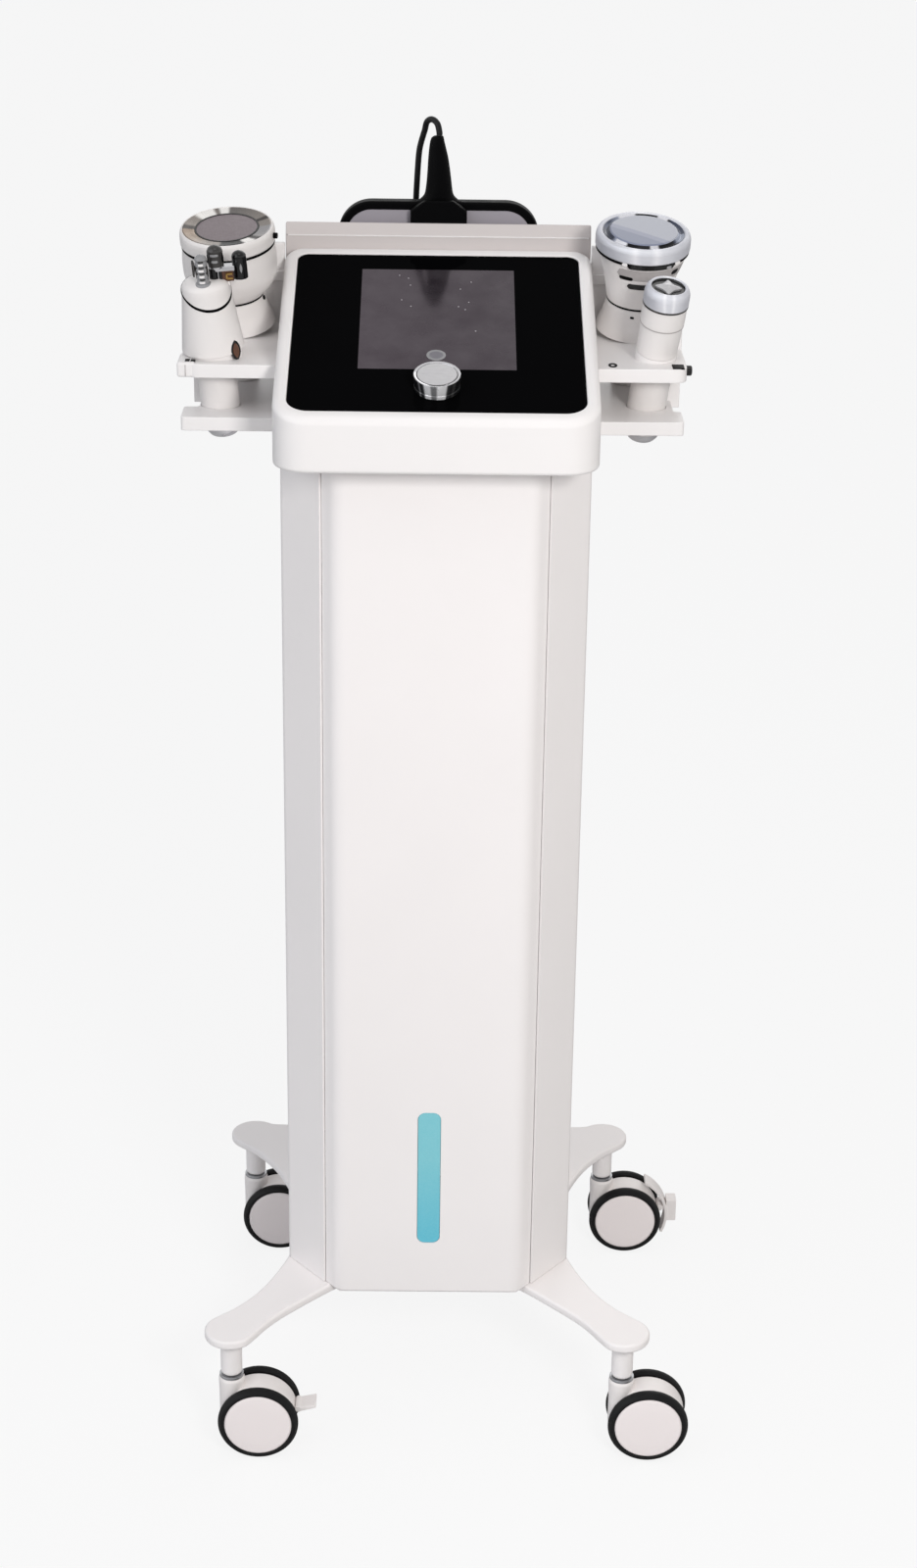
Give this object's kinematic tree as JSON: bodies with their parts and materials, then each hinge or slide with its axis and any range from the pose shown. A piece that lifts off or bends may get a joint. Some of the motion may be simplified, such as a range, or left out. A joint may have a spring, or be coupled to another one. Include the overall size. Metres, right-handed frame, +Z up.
{
  "type": "slimming machine",
  "caption": "Column on twin-wheel casters with a tilted glass console, side holders for round-headed handpieces, and a corded pad in a rear pocket.",
  "frame": {"origin": "middle of the machine's box, without the pad's cord and plug, on the floor that the wheels stand on", "axes": "+Z up; the console and the light window face -Y; +X is the right side as seen from the front"},
  "size_m": [0.4864, 0.4138, 1.1895],
  "materials": {
    "white_paint": "warm white powder coat",
    "white_plastic": "warm white plastic, satin",
    "grey_face": "grey-mauve, matt",
    "black_plastic": "black, matt",
    "black_gloss": "black, polished",
    "black_glass": "black printed glass, polished",
    "screen": "switched-off screen, grey-mauve",
    "board": "green circuit board",
    "aqua_window": "aqua light window, greener at the top and bluer below",
    "satin_metal": "satin, turned",
    "chrome": "polished",
    "steel": "plain sheet and machined steel",
    "clear_lens": "clear, polished",
    "tyre": "black tread round a pinkish white disc",
    "cord": "black, matt",
    "pump_body": "dark casting"
  },
  "bodies": {
    "machine": {"base_plate": "white_paint", "column_shell": "white_paint", "front_panel": "white_paint", "rear_panel": "white_paint", "light_window": "aqua_window", "mains_inlet": "black_plastic", "power_supply": "satin_metal", "vacuum_pump": "pump_body", "console_tray": "white_plastic", "console_bezel": "white_plastic", "glass_panel": "black_glass", "screen_module": "screen", "control_board": "board", "knob_encoder": "steel", "rear_housing": "white_plastic", "holder_left_upper": "white_plastic", "holder_left_lower": "white_plastic", "holder_right_upper": "white_plastic", "holder_right_lower": "white_plastic", "pad_plug": "black_plastic", "pad_socket": "black_plastic", "leg_front_left": "white_paint", "leg_front_right": "white_paint", "leg_rear_left": "white_paint", "leg_rear_right": "white_paint"},
    "swivel_front_left": {"caster_fork_front_left": "white_plastic"},
    "wheel_front_left_outer": {"caster_wheel_front_left_outer": "tyre"},
    "wheel_front_left_inner": {"caster_wheel_front_left_inner": "tyre"},
    "swivel_front_right": {"caster_fork_front_right": "white_plastic"},
    "wheel_front_right_outer": {"caster_wheel_front_right_outer": "tyre"},
    "wheel_front_right_inner": {"caster_wheel_front_right_inner": "tyre"},
    "swivel_rear_left": {"caster_fork_rear_left": "white_plastic"},
    "wheel_rear_left_outer": {"caster_wheel_rear_left_outer": "tyre"},
    "wheel_rear_left_inner": {"caster_wheel_rear_left_inner": "tyre"},
    "swivel_rear_right": {"caster_fork_rear_right": "white_plastic"},
    "wheel_rear_right_outer": {"caster_wheel_rear_right_outer": "tyre"},
    "wheel_rear_right_inner": {"caster_wheel_rear_right_inner": "tyre"},
    "brake_front_left": {"brake_pedal_front_left": "white_plastic"},
    "brake_rear_right": {"brake_pedal_rear_right": "white_plastic"},
    "knob": {"control_knob": "satin_metal"},
    "rocker": {"power_switch": "black_gloss"},
    "cavitation_handpiece": {"cavitation_body": "white_plastic", "cavitation_ring": "chrome", "cavitation_disc": "grey_face"},
    "light_therapy_handpiece": {"light_therapy_body": "white_plastic", "light_therapy_ring": "satin_metal", "light_therapy_lens": "clear_lens"},
    "suction_handpiece": {"suction_body": "white_plastic", "suction_cap": "white_plastic", "suction_clear_electrode": "clear_lens", "suction_chrome_electrode": "chrome", "suction_black_electrode": "black_gloss", "suction_connector": "chrome"},
    "facial_handpiece": {"facial_body": "white_plastic", "facial_cap": "satin_metal", "facial_electrode": "satin_metal", "facial_connector": "satin_metal"},
    "pad": {"pad_body": "black_plastic", "pad_face": "grey_face", "pad_cord": "cord"}
  },
  "joints": [
    {"name": "front_left_swivel", "type": "hinge", "parent": "machine", "child": "swivel_front_left", "pos_m": [-0.20126, -0.1825, 0.07], "axis": [0, 0, 1], "continuous": true},
    {"name": "front_left_outer_wheel_spin", "type": "hinge", "parent": "swivel_front_left", "child": "wheel_front_left_outer", "pos_m": [-0.17626, -0.2005, 0.03768], "axis": [0, 1, 0], "continuous": true},
    {"name": "front_left_inner_wheel_spin", "type": "hinge", "parent": "swivel_front_left", "child": "wheel_front_left_inner", "pos_m": [-0.17626, -0.1645, 0.03768], "axis": [0, 1, 0], "continuous": true},
    {"name": "front_right_swivel", "type": "hinge", "parent": "machine", "child": "swivel_front_right", "pos_m": [0.16374, -0.1825, 0.07], "axis": [0, 0, 1], "continuous": true},
    {"name": "front_right_outer_wheel_spin", "type": "hinge", "parent": "swivel_front_right", "child": "wheel_front_right_outer", "pos_m": [0.18874, -0.2005, 0.03768], "axis": [0, 1, 0], "continuous": true},
    {"name": "front_right_inner_wheel_spin", "type": "hinge", "parent": "swivel_front_right", "child": "wheel_front_right_inner", "pos_m": [0.18874, -0.1645, 0.03768], "axis": [0, 1, 0], "continuous": true},
    {"name": "rear_left_swivel", "type": "hinge", "parent": "machine", "child": "swivel_rear_left", "pos_m": [-0.20126, 0.1825, 0.07], "axis": [0, 0, 1], "continuous": true},
    {"name": "rear_left_outer_wheel_spin", "type": "hinge", "parent": "swivel_rear_left", "child": "wheel_rear_left_outer", "pos_m": [-0.17626, 0.2005, 0.03768], "axis": [0, 1, 0], "continuous": true},
    {"name": "rear_left_inner_wheel_spin", "type": "hinge", "parent": "swivel_rear_left", "child": "wheel_rear_left_inner", "pos_m": [-0.17626, 0.1645, 0.03768], "axis": [0, 1, 0], "continuous": true},
    {"name": "rear_right_swivel", "type": "hinge", "parent": "machine", "child": "swivel_rear_right", "pos_m": [0.16374, 0.1825, 0.07], "axis": [0, 0, 1], "continuous": true},
    {"name": "rear_right_outer_wheel_spin", "type": "hinge", "parent": "swivel_rear_right", "child": "wheel_rear_right_outer", "pos_m": [0.18874, 0.2005, 0.03768], "axis": [0, 1, 0], "continuous": true},
    {"name": "rear_right_inner_wheel_spin", "type": "hinge", "parent": "swivel_rear_right", "child": "wheel_rear_right_inner", "pos_m": [0.18874, 0.1645, 0.03768], "axis": [0, 1, 0], "continuous": true},
    {"name": "front_left_brake_pedal", "type": "hinge", "parent": "swivel_front_left", "child": "brake_front_left", "pos_m": [-0.13897, -0.1825, 0.04643], "axis": [0, 1, 0], "range_deg": [0, 18]},
    {"name": "rear_right_brake_pedal", "type": "hinge", "parent": "swivel_rear_right", "child": "brake_rear_right", "pos_m": [0.22603, 0.1825, 0.04643], "axis": [0, 1, 0], "range_deg": [0, 6]},
    {"name": "knob_turn", "type": "hinge", "parent": "machine", "child": "knob", "pos_m": [-0.01876, -0.11981, 1.00823], "axis": [0, -0.309, 0.9511], "continuous": true},
    {"name": "power_rocker", "type": "hinge", "parent": "machine", "child": "rocker", "pos_m": [-0.15626, 0.045, 0.2595], "axis": [0, -1, 0], "range_deg": [0, 12]},
    {"name": "cavitation_handpiece_lift", "type": "slide", "parent": "machine", "child": "cavitation_handpiece", "axis": [-0.0508, -0.2419, 0.969], "range_m": [0, 0.16]},
    {"name": "light_therapy_handpiece_lift", "type": "slide", "parent": "machine", "child": "light_therapy_handpiece", "axis": [0.0339, -0.2419, 0.9697], "range_m": [0, 0.16]},
    {"name": "suction_handpiece_lift", "type": "slide", "parent": "machine", "child": "suction_handpiece", "axis": [-0.0858, -0.1736, 0.9811], "range_m": [0, 0.16]},
    {"name": "facial_handpiece_lift", "type": "slide", "parent": "machine", "child": "facial_handpiece", "axis": [0.0994, -0.309, 0.9458], "range_m": [0, 0.16]},
    {"name": "pad_lift", "type": "slide", "parent": "machine", "child": "pad", "axis": [0, 0, 1], "range_m": [0, 0.14]}
  ]
}
